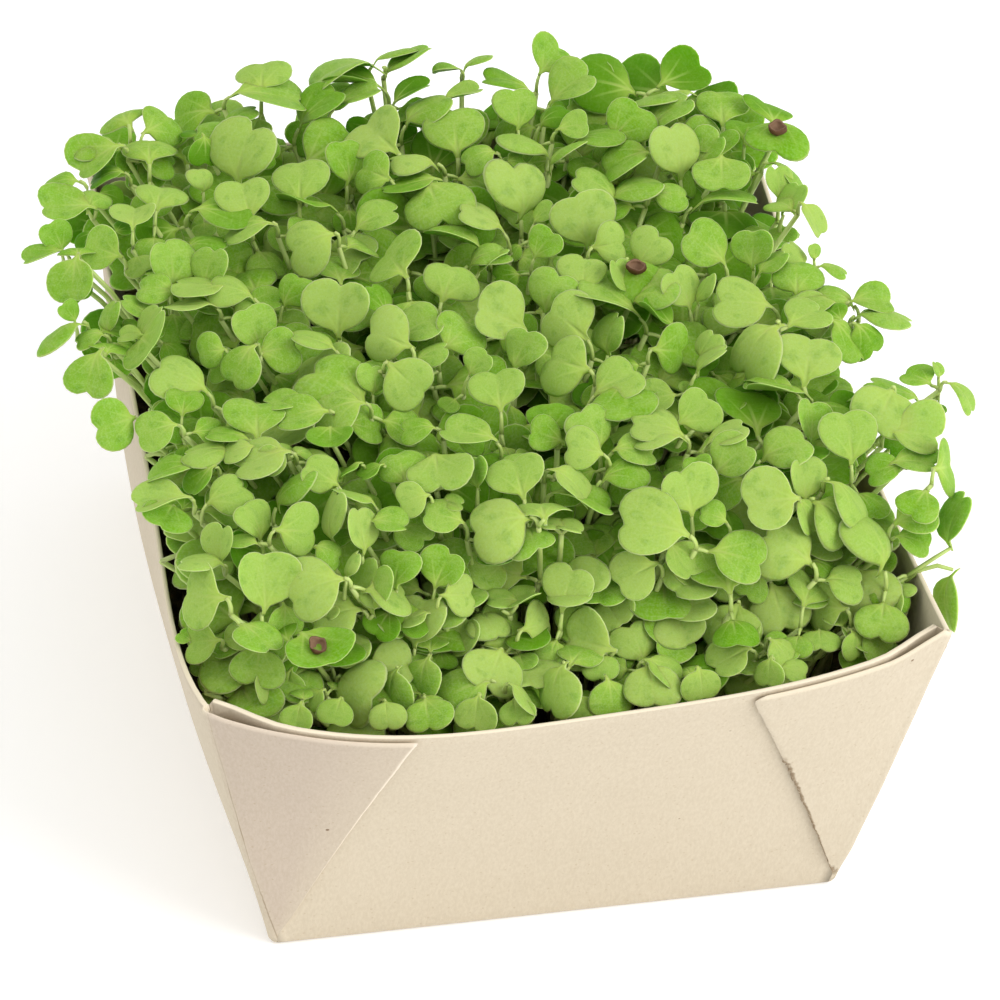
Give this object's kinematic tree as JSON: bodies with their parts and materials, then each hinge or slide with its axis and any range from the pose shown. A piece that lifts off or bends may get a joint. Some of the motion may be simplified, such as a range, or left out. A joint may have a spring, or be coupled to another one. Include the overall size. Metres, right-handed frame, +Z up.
{
  "type": "microgreens tray",
  "caption": "Folded paperboard tray of growing mustard microgreens: seedlings with paired seed leaves rooted in a bed of compost.",
  "frame": {"origin": "centre of the tray's flat underside", "axes": "+Z up out of the tray, +Y along its long sides towards the back end wall, +X to the right"},
  "size_m": [0.1222, 0.1463, 0.0686],
  "materials": {
    "paperboard": "matte unbleached board with fine fibre flecks",
    "compost": "dark, moist, crumbly peat and fibre",
    "seedling": "fresh green, waxy and matte",
    "seed_hull": "dry brown husk"
  },
  "bodies": {
    "root": {"board_tray": "paperboard", "growing_medium": "compost", "seedling_clump_r1c1": "seedling", "seedling_clump_r1c2": "seedling", "seedling_clump_r1c3": "seedling", "seedling_clump_r1c4": "seedling", "seedling_clump_r1c5": "seedling", "seedling_clump_r1c6": "seedling", "seedling_clump_r2c1": "seedling", "seedling_clump_r2c2": "seedling", "seedling_clump_r2c3": "seedling", "seedling_clump_r2c4": "seedling", "seedling_clump_r2c5": "seedling", "seedling_clump_r2c6": "seedling", "seedling_clump_r3c1": "seedling", "seedling_clump_r3c2": "seedling", "seedling_clump_r3c3": "seedling", "seedling_clump_r3c4": "seedling", "seedling_clump_r3c5": "seedling", "seedling_clump_r3c6": "seedling", "seedling_clump_r4c1": "seedling", "seedling_clump_r4c2": "seedling", "seedling_clump_r4c3": "seedling", "seedling_clump_r4c4": "seedling", "seedling_clump_r4c5": "seedling", "seedling_clump_r4c6": "seedling", "seedling_clump_r5c1": "seedling", "seedling_clump_r5c2": "seedling", "seedling_clump_r5c3": "seedling", "seedling_clump_r5c4": "seedling", "seedling_clump_r5c5": "seedling", "seedling_clump_r5c6": "seedling", "seedling_clump_r6c1": "seedling", "seedling_clump_r6c2": "seedling", "seedling_clump_r6c3": "seedling", "seedling_clump_r6c4": "seedling", "seedling_clump_r6c5": "seedling", "seedling_clump_r6c6": "seedling", "seedling_clump_r7c1": "seedling", "seedling_clump_r7c2": "seedling", "seedling_clump_r7c3": "seedling", "seedling_clump_r7c4": "seedling", "seedling_clump_r7c5": "seedling", "seedling_clump_r7c6": "seedling", "seedling_clump_r8c1": "seedling", "seedling_clump_r8c2": "seedling", "seedling_clump_r8c3": "seedling", "seedling_clump_r8c4": "seedling", "seedling_clump_r8c5": "seedling", "seedling_clump_r8c6": "seedling", "seed_hull_1": "seed_hull", "seed_hull_2": "seed_hull", "seed_hull_3": "seed_hull", "seed_hull_4": "seed_hull"}
  },
  "joints": []
}
